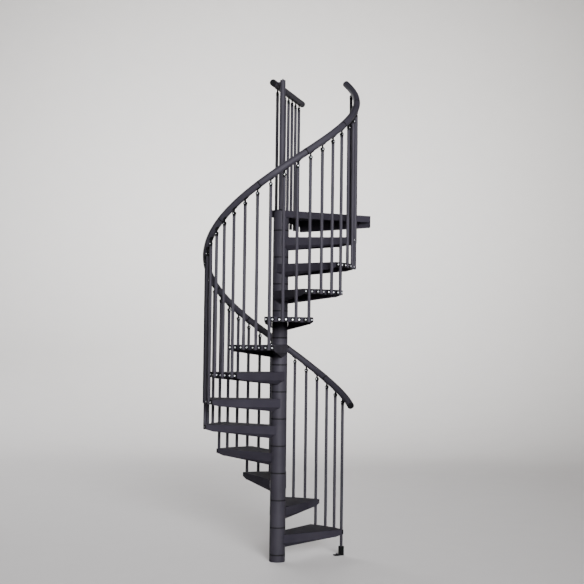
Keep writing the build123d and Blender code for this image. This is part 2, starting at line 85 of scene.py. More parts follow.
def wire(tree: Tree, node: bpy.types.Node, settings: dict) -> None:
    """Sets a node's properties and feeds its sockets.

    Args:
        tree: the node's tree.
        node: the node.
        settings: properties by name, and sockets by number or by a name that starts with a capital,
            each with a constant or with another node's output to link.
    """
    for key, value in settings.items():
        if isinstance(value, Socket):
            tree.links.new(value, node.inputs[key])
        elif isinstance(key, int) or key[0].isupper():
            node.inputs[key].default_value = value
        else:
            setattr(node, key, value)


def add_node(tree: Tree, kind: str, settings: dict | None = None, output: str | int = 0) -> Socket:
    """Adds one node to a tree.

    Args:
        tree: the material's node tree.
        kind: the node's type name in Blender.
        settings: its properties, socket values and links, as wire takes them.
        output: the name or number of the output that other nodes read.

    Returns:
        That output.
    """
    node = tree.nodes.new(kind)
    wire(tree, node, settings or {})
    return node.outputs[output]


def start_material(name: str) -> tuple[Material, Tree, bpy.types.Node, Socket]:
    """Starts a material that has one shader.

    Args:
        name: the material's name.

    Returns:
        The material, its tree, its shader, and the Object coordinates that its patterns read.
    """
    made = bpy.data.materials.new(name)
    made.use_nodes = True
    tree = made.node_tree
    return made, tree, tree.nodes["Principled BSDF"], add_node(tree, "ShaderNodeTexCoord", output="Object")


def scale(size_mm: float) -> float:
    """The pattern scale whose features measure size_mm on Object coordinates in metres."""
    return 1000.0 / size_mm


@dataclass(frozen=True)
class PowderCoat:
    """Fine-textured polyester powder coat on steel: a satin skin with a soft orange peel.

    The skin is an even dark anthracite. Its relief breaks the highlights softly, a slow change of
    gloss shows where the coat ran thicker, and a little pale dust lies on what faces up.
    """

    name: str
    shade: str = "#28262c"
    thick_shade: str = "#222026"
    smooth: float = 0.55
    rough: float = 0.65
    ior: float = 1.22
    cloud_mm: float = 240.0
    cloud_low: float = 0.35
    cloud_high: float = 0.65
    patch_mm: float = 45.0
    peel_mm: float = 2.6
    peel_depth_mm: float = 0.05
    peel_strength: float = 0.2
    dust: float = 0.01
    dust_shade: str = "#83868c"
    dust_from: float = 0.55
    edge_mm: float = 2.0

    def material(self) -> Material:
        """Builds the material from a cloud of coat thickness, an orange peel and dust on level faces."""
        made, tree, shader, place = start_material(self.name)
        cloud = add_node(tree, NOISE, {"Scale": scale(self.cloud_mm), "Detail": 3.0, "Vector": place})
        # the true grain is 0.4 mm, and it is drawn coarser so that it shows
        grain = {"Scale": scale(self.peel_mm), "Detail": 4.0, "Roughness": 0.6, "Vector": place}
        peel = add_node(tree, NOISE, grain)
        low, high = self.cloud_low, self.cloud_high
        thick = add_node(tree, RANGE, {"From Min": low, "From Max": high, "Value": cloud})
        shades = {FACTOR: thick, FIRST: linear(self.shade), SECOND: linear(self.thick_shade)}
        colour = add_node(tree, MIX, {"data_type": "RGBA", **shades}, MIXED)
        normal = add_node(tree, "ShaderNodeNewGeometry", output="Normal")
        upward = add_node(tree, "ShaderNodeSeparateXYZ", {"Vector": normal}, "Z")
        span = {"From Min": self.dust_from, "From Max": 1.0, "To Max": self.dust, "Value": upward}
        level = add_node(tree, RANGE, span)
        patch = add_node(tree, NOISE, {"Scale": scale(self.patch_mm), "Detail": 6.0, "Vector": place})
        lying = add_node(tree, "ShaderNodeMath", {"operation": "MULTIPLY", 0: level, 1: patch})
        shades = {FACTOR: lying, FIRST: colour, SECOND: linear(self.dust_shade)}
        dusty = add_node(tree, MIX, {"data_type": "RGBA", **shades}, MIXED)
        gloss = add_node(tree, RANGE, {"To Min": self.smooth, "To Max": self.rough, "Value": patch})
        # the coat rounds every folded and cut edge, so that it catches the light as a thin line
        edge = add_node(tree, "ShaderNodeBevel", {"samples": 4, "Radius": self.edge_mm / 1000})
        depth = {"Strength": self.peel_strength, "Distance": self.peel_depth_mm / 1000}
        relief = add_node(tree, "ShaderNodeBump", {**depth, "Height": peel, "Normal": edge})
        # the fine texture breaks up much of the mirror-like reflection, as a low index does
        wire(tree, shader, {"Base Color": dusty, "Roughness": gloss, "Normal": relief, "IOR": self.ior})
        return made


@dataclass(frozen=True)
class MouldedNylon:
    """Injection-moulded black nylon: near black, satin, with a fine spark-eroded grain."""

    name: str
    shade: str = "#040405"
    worn_shade: str = "#08080a"
    smooth: float = 0.54
    rough: float = 0.72
    ior: float = 1.18
    cloud_mm: float = 30.0
    grain_mm: float = 1.6
    grain_depth_mm: float = 0.04
    grain_strength: float = 0.25

    def material(self) -> Material:
        """Builds the material from a fine grain, and a cloud that lifts colour and gloss together."""
        made, tree, shader, place = start_material(self.name)
        grain = add_node(tree, NOISE, {"Scale": scale(self.grain_mm), "Detail": 3.0, "Vector": place})
        cloud = add_node(tree, NOISE, {"Scale": scale(self.cloud_mm), "Detail": 4.0, "Vector": place})
        shades = {FACTOR: cloud, FIRST: linear(self.shade), SECOND: linear(self.worn_shade)}
        colour = add_node(tree, MIX, {"data_type": "RGBA", **shades}, MIXED)
        gloss = add_node(tree, RANGE, {"To Min": self.smooth, "To Max": self.rough, "Value": cloud})
        depth = {"Strength": self.grain_strength, "Distance": self.grain_depth_mm / 1000}
        relief = add_node(tree, "ShaderNodeBump", {**depth, "Height": grain})
        wire(tree, shader, {"Base Color": colour, "Roughness": gloss, "Normal": relief, "IOR": self.ior})
        return made


@dataclass(frozen=True)
class ZincPlate:
    """Bright zinc plate on a cold-headed screw: a pale cool metal with faint crystal patches."""

    name: str
    shade: str = "#eceef2"
    dull_shade: str = "#d2d5da"
    smooth: float = 0.30
    rough: float = 0.48
    patch_mm: float = 3.0

    def material(self) -> Material:
        """Builds the material from patches that dull the colour and the gloss together."""
        made, tree, shader, place = start_material(self.name)
        patch = add_node(tree, NOISE, {"Scale": scale(self.patch_mm), "Detail": 3.0, "Vector": place})
        shades = {FACTOR: patch, FIRST: linear(self.shade), SECOND: linear(self.dull_shade)}
        colour = add_node(tree, MIX, {"data_type": "RGBA", **shades}, MIXED)
        gloss = add_node(tree, RANGE, {"To Min": self.smooth, "To Max": self.rough, "Value": patch})
        wire(tree, shader, {"Base Color": colour, "Roughness": gloss, "Metallic": 1.0})
        return made


@dataclass(frozen=True)
class StudioFloor:
    """Matt pale vinyl that lies under the stair and curves up behind it."""

    name: str
    shade: str = "#dddbd9"
    mottle_shade: str = "#d8d6d4"
    mottle_mm: float = 1000 / 3
    roughness: float = 0.7

    def material(self) -> Material:
        """Builds the material from a slow mottle."""
        made, tree, shader, place = start_material(self.name)
        mottle = add_node(tree, NOISE, {"Scale": scale(self.mottle_mm), "Detail": 5.0, "Vector": place})
        shades = {FACTOR: mottle, FIRST: linear(self.shade), SECOND: linear(self.mottle_shade)}
        colour = add_node(tree, MIX, {"data_type": "RGBA", **shades}, MIXED)
        wire(tree, shader, {"Base Color": colour, "Roughness": self.roughness})
        return made


# surfaces


def radial(azimuth: Array | float) -> Array:
    """Unit vectors that point outward along azimuths in radians, shape (..., 3)."""
    azimuth = np.asarray(azimuth, float)
    return np.stack([np.cos(azimuth), np.sin(azimuth), np.zeros_like(azimuth)], axis=-1)


def placings(x_axis: Array, y_axis: Array, z_axis: Array, origin: Array) -> Array:
    """Matrices of shape (n, 4, 4) from origins of shape (n, 3) and axes, one for each or one for all."""
    made = np.zeros((len(origin), 4, 4))
    made[:, :3, 0], made[:, :3, 1], made[:, :3, 2], made[:, :3, 3] = x_axis, y_axis, z_axis, origin
    made[:, 3, 3] = 1
    return made


def facing(out: Array, origin: Array) -> Array:
    """Placings whose Z axis points along a level vector and whose Y axis points up."""
    return placings(np.cross(UP, out), UP, out, origin)


def standing(origin: Array) -> Array:
    """Placings that only move a shape to each origin."""
    return placings(*np.eye(3), origin)


class Shell:
    """Closed surfaces gathered as whole arrays of points and quads, and then made one mesh."""

    MERGE = 1e-6
    SLIVER = 1e-7

    def __init__(self) -> None:
        """Starts with nothing in it."""
        self.points: list[Array] = []
        self.quads: list[Array] = []
        self.count = 0

    def grid(self, points: Array, around: bool = False) -> "Shell":
        """Adds a grid of points and the quads between neighbours.

        Args:
            points: shape (rows, columns, 3).
            around: whether the last column joins the first.

        Returns:
            This shell.
        """
        rows, columns = points.shape[:2]
        index = np.arange(rows * columns).reshape(rows, columns)
        if around:
            index = np.concatenate([index, index[:, :1]], axis=1)
        quads = np.stack([index[:-1, :-1], index[:-1, 1:], index[1:, 1:], index[1:, :-1]], axis=-1)
        self.points.append(points.reshape(-1, 3))
        self.quads.append(quads.reshape(-1, 4) + self.count)
        self.count += rows * columns
        return self

    def lathe(self, profile: Array | list, sides: int, corner: list[float] | None = None) -> "Shell":
        """Adds a profile turned about Z: (r, z) goes to (r cos a, r sin a, z) for each side's angle a.

        Args:
            profile: rows of radius and height, from one pole to the other.
            sides: how many columns the turn has.
            corner: for each row, how far its circle is drawn in to a hexagon, from 0 to 1.

        Returns:
            This shell.
        """
        profile = np.array(profile, float)
        turn = np.arange(sides) * TAU / sides
        radius = np.repeat(profile[:, :1], sides, axis=1)
        if corner is not None:
            hexagon = math.cos(math.pi / 6) / np.cos((turn + math.pi / 6) % (math.pi / 3) - math.pi / 6)
            radius = radius * (1 - np.array(corner, float)[:, None] * (1 - hexagon))
        height = np.repeat(profile[:, 1:], sides, axis=1)
        rings = np.stack([radius * np.cos(turn), radius * np.sin(turn), height], axis=-1)
        return self.grid(rings, around=True)

    def sweep(self, centres: Array, across: Array, above: Array, radius: Array, sides: int) -> "Shell":
        """Adds a round tube with closed ends: angle v gives centre + r (cos v across + sin v above).

        Args:
            centres: the tube's centre line, shape (n, 3).
            across: unit vectors square to the line, shape (n, 3), or one for all.
            above: unit vectors square to both, shape (n, 3), or one for all.
            radius: the tube's radius at each point of the line.
            sides: how many columns the turn has.

        Returns:
            This shell.
        """
        turn = (np.arange(sides) * TAU / sides)[None, :, None]
        reach = np.concatenate([[0.0], radius, [0.0]])[:, None, None]
        rows = np.concatenate([[0], np.arange(len(centres)), [len(centres) - 1]])
        across = np.broadcast_to(across, centres.shape)[rows][:, None]
        above = np.broadcast_to(above, centres.shape)[rows][:, None]
        ring = np.cos(turn) * across + np.sin(turn) * above
        return self.grid(centres[rows][:, None] + reach * ring, around=True)

    def placed(self, places: Array) -> "Shell":
        """A new shell with one copy of this one at each matrix of shape (n, 4, 4)."""
        points = np.concatenate(self.points)
        quads = np.concatenate(self.quads)
        moved = np.einsum("nij,pj->npi", places[:, :3, :3], points) + places[:, None, :3, 3]
        steps = np.arange(len(places)) * len(points)
        made = Shell()
        made.points = [moved.reshape(-1, 3)]
        made.quads = [(quads[None] + steps[:, None, None]).reshape(-1, 4)]
        made.count = len(points) * len(places)
        return made

    def joined(self, other: "Shell") -> "Shell":
        """This shell with another one's surfaces added."""
        self.points += other.points
        self.quads += [quads + self.count for quads in other.quads]
        self.count += other.count
        return self

    def made(self, name: str, finish: Material, crease: float = 32.0) -> bpy.types.Object:
        """Makes the mesh object: merges poles and seams, turns faces outward, smooths below a crease angle.

        Args:
            name: the object's name.
            finish: its material.
            crease: the angle in degrees above which an edge stays sharp.

        Returns:
            The object, linked into the scene.
        """
        mesh = bpy.data.meshes.new(name)
        mesh.from_pydata(np.concatenate(self.points).tolist(), [], np.concatenate(self.quads).tolist())
        work = bmesh.new()
        work.from_mesh(mesh)
        bmesh.ops.remove_doubles(work, verts=work.verts, dist=self.MERGE)
        bmesh.ops.dissolve_degenerate(work, edges=work.edges, dist=self.SLIVER)
        bmesh.ops.recalc_face_normals(work, faces=work.faces)
        work.to_mesh(mesh)
        work.free()
        mesh.polygons.foreach_set("use_smooth", np.ones(len(mesh.polygons), bool))
        mesh.set_sharp_from_angle(angle=math.radians(crease))
        mesh.materials.append(finish)
        made = bpy.data.objects.new(name, mesh)
        bpy.context.scene.collection.objects.link(made)
        LOG.info("%s: %d faces", name, len(mesh.polygons))
        return made

    def piece(self, name: str, finish: Material, slot: str = "", *stands_for: str) -> None:
        """Makes the object as a part of the stair, riding on the frame's one body.

        Args:
            name: the piece's name.
            finish: its material.
            slot: the record's material slot that it stands for, or nothing. It is not used.
            stands_for: the CAD nodes that it replaces.
        """
        made = self.made(name, finish)
        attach(made, "root")
        if stands_for:
            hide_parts(*stands_for)


def rounded(points: list[tuple[float, float]], radius: float, steps: int = 3) -> Array:
    """A profile whose inner corners are rounded.

    Each corner c becomes the quadratic curve (1-t)^2 p + 2t(1-t) c + t^2 q, where p and q lie on its two
    sides, one radius or half a side from c.

    Args:
        points: the profile's corners (r, z).
        radius: how far the rounding reaches from a corner.
        steps: how many spans each rounding has.

    Returns:
        The rounded profile, shape (rows, 2).
    """
    path = np.array(points, float)
    made = [path[:1]]
    t = np.linspace(0, 1, steps + 1)[:, None]
    for before, corner, after in zip(path[:-2], path[1:-1], path[2:]):
        back, ahead = before - corner, after - corner
        p = corner + back * min(radius / np.linalg.norm(back), 0.5)
        q = corner + ahead * min(radius / np.linalg.norm(ahead), 0.5)
        made.append((1 - t) ** 2 * p + 2 * t * (1 - t) * corner + t**2 * q)
    made.append(path[-1:])
    return np.concatenate(made)


# the stair's own lines


@dataclass(frozen=True)
class Climb:
    """The sizes that every part of the stair shares, as the CAD model has them.

    A size whose name ends in steps is counted in the turn between two balusters.
    """

    rise: float = 0.216
    treads: int = 12
    tread_turn: float = 29.2
    first_azimuth: float = 44.4
    per_tread: int = 3
    baluster_circle: float = 0.600
    baluster_radius: float = 0.0125
    baluster_below: float = 0.038
    hub_radius: float = 0.0635
    sheet: float = 0.003
    gap: float = 0.0002
    tray_radius: float = 0.5849
    clip_face: float = 0.5988
    clip_drop: float = 0.0206
    rail_radius: float = 0.028
    rail_over_tread: float = 1.178
    low_overrun_steps: float = 1.6
    high_overrun_steps: float = 0.93
    low_ease: float = 0.067
    low_ease_steps: float = 5.5
    high_ease: float = 0.035
    high_ease_steps: float = 15.0
    joints: int = 10
    length_steps: float = 3.5
    top_joint_steps: float = 2.35
    joint_ring: float = 0.0045
    cap: float = 0.008
    swivel_length: float = 0.084
    edge_offset: float = 0.0667
    guard_azimuth: float = 75.0
    guard_offset: float = 0.0818
    guard_height: float = 1.050
    guard_length: float = 0.897
    guard_first: float = 0.128
    guard_spacing: float = 0.1116
    guard_balusters: int = 7
    guard_below: float = 0.096

    @property
    def step(self) -> float:
        """The turn between balusters, in degrees."""
        return self.tread_turn / self.per_tread

    @property
    def first_baluster(self) -> float:
        """The lowest baluster's azimuth, in degrees."""
        return self.first_azimuth - self.tread_turn / 2

    @property
    def count(self) -> int:
        """How many balusters the flight has."""
        return self.treads * self.per_tread + 1

    @property
    def landing_top(self) -> float:
        """The height of the landing's walking surface."""
        return (self.treads + 1) * self.rise

    @property
    def guard_line(self) -> float:
        """The height of the guard rail's centre line."""
        return self.landing_top + self.guard_height

    @property
    def guard_along(self) -> Array:
        """The unit vector along the guard rail, away from the post."""
        return radial(math.radians(self.guard_azimuth))

    @property
    def guard_out(self) -> Array:
        """The level unit vector from the landing to the far side of the guard rail."""
        return radial(math.radians(self.guard_azimuth) + math.pi / 2)

    def balusters(self) -> Array:
        """The azimuths of the flight's balusters, in degrees."""
        return self.first_baluster + np.arange(self.count) * self.step

    def guard_runs(self) -> Array:
        """How far along the guard rail each of its balusters stands."""
        return self.guard_first + np.arange(self.guard_balusters) * self.guard_spacing

    def guard_points(self, run: Array, offset: float, height: float) -> Array:
        """Points at runs along the guard rail, offset outward from the column's axis, at a height."""
        return self.guard_along * run[:, None] + self.guard_out * offset + UP * height

    def rail_ends(self) -> tuple[float, float]:
        """The azimuths of the handrail's two ends, in degrees."""
        last = self.first_baluster + (self.count - 1) * self.step
        low, high = self.low_overrun_steps * self.step, self.high_overrun_steps * self.step
        return self.first_baluster - low, last + high

    def rail_joints(self) -> Array:
        """The azimuths of the handrail's joints from the bottom up, in degrees."""
        last = self.first_baluster + (self.count - 1 - self.top_joint_steps) * self.step
        return last + (np.arange(self.joints) - self.joints + 1) * self.length_steps * self.step

    def rail_height(self, azimuth: Array) -> Array:
        """The handrail's centre line: a straight climb with the azimuth, plus a square ease at both ends."""
        low_end, high_end = self.rail_ends()
        turned = azimuth - self.first_azimuth
        climb = self.rail_over_tread + self.rise + turned * self.rise / self.tread_turn
        below = np.maximum(0.0, 1 - (azimuth - low_end) / (self.low_ease_steps * self.step))
        above = np.maximum(0.0, 1 - (high_end - azimuth) / (self.high_ease_steps * self.step))
        return climb + self.low_ease * below**2 - self.high_ease * above**2

    def rail_slope(self, azimuth: Array) -> Array:
        """The handrail's slope in radians, from its height half a degree to each side."""
        rising = self.rail_height(azimuth + 0.5) - self.rail_height(azimuth - 0.5)
        return np.arctan2(rising, math.radians(1) * self.baluster_circle)


class Head(Enum):
    """The two forms of screw head on the stair."""

    BUTTON = "a low dome with a hexagon socket"
    HEXAGON = "a chamfered hexagon on a washer"


def head(kind: Head, radius: float, height: float) -> Shell:
    """One screw head about Z, its seat on z = 0.

    Args:
        kind: the form of the head.
        radius: the head's radius, without the washer.
        height: how far it stands up.

    Returns:
        The head's surface.
    """
    r, h, seat = radius, height, -SEAT_LAP
    if kind is Head.BUTTON:
        socket = [(0, 0.35 * h), (0.42 * r, 0.4 * h), (0.42 * r, h)]
        dome = [(0.6 * r, 0.98 * h), (0.88 * r, 0.62 * h), (r, 0.22 * h), (0.97 * r, seat), (0, seat)]
        return Shell().lathe(socket + dome, sides=12, corner=[0, 1, 1, 0.1, 0, 0, 0, 0])
    washer = 0.22 * h
    hexagon = [(0, h), (0.82 * r, h), (r, 0.86 * h), (r, washer)]
    rim = [(1.35 * r, washer), (1.4 * r, 0.7 * washer), (1.4 * r, seat), (0, seat)]
    return Shell().lathe(hexagon + rim, sides=24, corner=[0, 0.1, 1, 1, 0, 0, 0, 0])


@dataclass
class Fasteners:
    """Everything screwed into the trays' flanges, the dark dots painted there as the shadows at the clips'
    ends, and the bolts of the landing and the foot.

    A size whose name ends in beside is counted from the middle of a clip or a bay, along the flange.
    """

    climb: Climb
    zinc: Material
    nylon: Material
    coat: Material
    screw_radius: float = 0.0063
    screw_height: float = 0.0036
    screw_beside: float = 0.0253
    guard_face: float = 0.0139
    # painted shadow: the next five sizes draw the dark dots that stand for the shadows at the clips' ends
    shadow_dot_radius: float = 0.0042
    plug_and_shadow_dot_height: float = 0.0016
    plug_and_shadow_dot_round: float = 0.0006
    shadow_dot_beside: float = 0.0090
    shadow_dot_drop: float = 0.0225
    anchor_radius: float = 0.0095
    anchor_height: float = 0.0085
    anchor_drop: float = 0.068
    anchor_inset: float = 0.107
    landing_front: float = 0.800
    landing_side: float = 0.815
    nut_radius: float = 0.0085
    nut_height: float = 0.0075
    foot_inset: float = 0.042
    foot_height: float = 0.010

    def on_trays(self, shape: Shell, marks: Array, beside: float, radius: float, drop: float) -> Shell:
        """Puts pairs of a shape on the trays' curved flanges, with their Z axes pointing outward.

        A pair's azimuths are its mark's plus and minus the side step over the radius.

        Args:
            shape: one screw, or one dark dot painted as a shadow.
            marks: where the pairs sit, in baluster steps from a tray's first baluster.
            beside: how far each of a pair is from its mark.
            radius: how far the shape's seat is from the column's axis.
            drop: how far below the tray's top it is.

        Returns:
            All the copies.
        """
        climb = self.climb
        rows = np.meshgrid(np.arange(climb.treads), marks, (-1, 1))
        tread, mark, side = (row.ravel() for row in rows)
        azimuth = climb.first_baluster + (tread * climb.per_tread + mark) * climb.step
        out = radial(np.radians(azimuth + np.degrees(side * beside / radius)))
        height = (tread + 1) * climb.rise - drop
        return shape.placed(facing(out, out * radius + UP * height[:, None]))

    def flight_screws(self) -> None:
        """Two screws to a clip, on its outer face."""
        face, drop, clips = self.climb.clip_face, self.climb.clip_drop, np.arange(self.climb.per_tread + 1)
        button = head(Head.BUTTON, self.screw_radius, self.screw_height)
        screws = self.on_trays(button, clips, self.screw_beside, face, drop)
        screws.piece("flight_screws", self.zinc)

    def painted_clip_end_shadows(self) -> None:
        """Two dark dots in each bay between neighbouring clips, painted as the shadows at the clips' ends.
        """
        bays = np.arange(self.climb.per_tread) + 0.5
        r, h, seat = self.shadow_dot_radius, self.plug_and_shadow_dot_height, -SEAT_LAP
        profile = rounded([(0, h), (0.7 * r, h), (r, 0.3 * h), (r, seat), (0, seat)], self.plug_and_shadow_dot_round)
        # painted shadow: dark nylon dots where the clips' ends cast their shadows on the flange
        plug_and_shadow_dot = Shell().lathe(profile, sides=16)
        shadow_dots = self.on_trays(plug_and_shadow_dot, bays, self.shadow_dot_beside, self.climb.tray_radius, self.shadow_dot_drop)
        shadow_dots.piece("painted_clip_end_shadows", self.nylon)

    def guard_screws(self) -> None:
        """Two screws to a clip along the landing's straight flange."""
        climb = self.climb
        runs = climb.guard_runs()
        run = np.concatenate([runs - self.screw_beside, runs + self.screw_beside])
        height = climb.landing_top - climb.clip_drop
        origin = climb.guard_points(run, climb.edge_offset + self.guard_face, height)
        button = head(Head.BUTTON, self.screw_radius, self.screw_height)
        button.placed(facing(climb.guard_out, origin)).piece("guard_screws", self.zinc)

    def anchors(self) -> None:
        """Three hexagon bolts with washers inside the landing's deep flange, at the record's mounts.

        The flange runs straight between the outer corners of the landing's front edge and its guard side.
        """
        climb = self.climb
        reach = climb.edge_offset + climb.gap + climb.baluster_radius
        front = math.radians(climb.balusters()[-1]) + math.asin(reach / climb.baluster_circle)
        near = radial(front - math.pi / 2) * climb.edge_offset + radial(front) * self.landing_front
        far = climb.guard_along * self.landing_side + climb.guard_out * climb.edge_offset
        length = float(np.linalg.norm(far - near))
        run = (far - near) / length
        places = np.array([self.anchor_inset, length / 2, length - self.anchor_inset])
        inward = np.cross(UP, run)
        height = climb.landing_top - self.anchor_drop
        origin = near + places[:, None] * run + inward * climb.sheet + UP * height
        bolt = head(Head.HEXAGON, self.anchor_radius, self.anchor_height)
        bolt.placed(facing(inward, origin)).piece("landing_anchor_bolts", self.coat)

    def foot_screw(self) -> None:
        """The hexagon nut on the toe of the lowest baluster's foot."""
        climb = self.climb
        out = radial(np.radians(climb.balusters()[:1]))
        origin = out * (climb.baluster_circle - self.foot_inset) + UP * self.foot_height
        nut = head(Head.HEXAGON, self.nut_radius, self.nut_height)
        nut.placed(placings(out, np.cross(UP, out), UP, origin)).piece("floor_foot_nut", self.coat)

    def build(self) -> None:
        """Makes every row of fasteners."""
        self.flight_screws()
        self.painted_clip_end_shadows()
        self.guard_screws()
        self.anchors()
        self.foot_screw()


@dataclass
class Rails:
    """The helical handrail in its eleven lengths, the level guard rail, their joint rings and end caps."""

    climb: Climb
    coat: Material
    nylon: Material
    spans: int = 40
    sides: int = 48
    chamfer: float = 0.0008
    cap_round: float = 0.003
    ring_lap: float = 0.0030
    ring_lip: float = 0.0006
    ring_round: float = 0.0004

    def helix(self, azimuth: Array) -> tuple[Array, Array, Array, Array]:
        """Points of the handrail's centre line and its directions there.

        The point at azimuth a is (R cos a, R sin a, h(a)), and the climbing vector leans by the rail's slope
        from the level direction square to the outward one.

        Args:
            azimuth: where, in degrees.

        Returns:
            The points, and the outward, upward and climbing unit vectors.
        """
        out = radial(np.radians(azimuth))
        centre = out * self.climb.baluster_circle
        centre[:, 2] = self.climb.rail_height(azimuth)
        slope = self.climb.rail_slope(azimuth)[:, None]
        along = np.cross(UP, out) * np.cos(slope) + UP * np.sin(slope)
        return centre, out, np.cross(out, along), along

    def lengths(self) -> None:
        """Eleven swept tubes that stop at the joint rings, each with a fine chamfer at its ends."""
        climb = self.climb
        joints = climb.rail_joints()
        run = climb.joint_ring / 2 + climb.gap / 2
        gap = np.degrees(run * np.cos(climb.rail_slope(joints)) / climb.baluster_circle)
        low, high = climb.rail_ends()
        starts, ends = np.concatenate([[low], joints + gap]), np.concatenate([joints - gap, [high]])
        edge = math.degrees(self.chamfer / climb.baluster_circle)
        for number, (first, last) in enumerate(zip(starts, ends), 1):
            azimuth = np.concatenate([[first], np.linspace(first + edge, last - edge, self.spans), [last]])
            radius = np.full(len(azimuth), climb.rail_radius)
            radius[[0, -1]] -= self.chamfer
            centre, out, above, _ = self.helix(azimuth)
            tube = Shell().sweep(centre, out, above, radius, self.sides)
            name, node = f"handrail_tube_{number:02d}", f"handrail_{number:02d}"
            tube.piece(name, self.coat, "handrail_coating", node)

    def guard(self) -> None:
        """The straight level rail beside the landing."""
        climb = self.climb
        run = np.array([0, self.chamfer, climb.guard_length - self.chamfer, climb.guard_length])
        centre = climb.guard_points(run, climb.guard_offset, climb.guard_line)
        radius = climb.rail_radius - np.array([self.chamfer, 0, 0, self.chamfer])
        tube = Shell().sweep(centre, climb.guard_out, UP, radius, self.sides)
        tube.piece("guard_rail_tube", self.coat, "handrail_coating", "guard_rail")

    def rings(self) -> None:
        """The nylon rings between the handrail's lengths: discs whose thin rims lap over both tube ends."""
        half, seat = self.climb.joint_ring / 2, self.climb.rail_radius - self.ring_lip / 2
        edge, r = half + self.ring_lap, self.climb.rail_radius + self.ring_lip
        side = [(0, half), (seat, half), (seat, edge), (r, edge)]
        profile = rounded([(x, -z) for x, z in side] + side[::-1], self.ring_round)
        centre, out, above, along = self.helix(self.climb.rail_joints())
        discs = Shell().lathe(profile, self.sides).placed(placings(out, above, along, centre))
        discs.piece("handrail_ring_discs", self.nylon, "black_plastic", "handrail_joint_rings")

    def caps(self) -> None:
        """The black caps at the four free ends: short drums with turned rims and slightly domed faces."""
        climb = self.climb
        r, h, outward = climb.rail_radius, climb.cap, np.array([[-1.0], [1.0]])
        profile = rounded([(0, h), (0.6 * r, h), (r, 0.86 * h), (r, 0), (0, 0)], self.cap_round, steps=5)
        cap = Shell().lathe(profile, self.sides)
        ends, _, tops, climbing = self.helix(np.array(climb.rail_ends()))
        run = np.array([0.0, climb.guard_length])
        level = climb.guard_points(run, climb.guard_offset, climb.guard_line)
        for rail, centre, above, along in (
            ("handrail", ends, tops, climbing),
            ("guard_rail", level, UP, climb.guard_along),
        ):
            away = along * outward
            pair = cap.placed(placings(np.cross(above, away), above, away, centre))
            pair.piece(f"{rail}_end_caps", self.nylon, "black_plastic", f"{rail}_caps")

    def build(self) -> None:
        """Makes the two rails with their rings and caps."""
        self.lengths()
        self.guard()
        self.rings()
        self.caps()


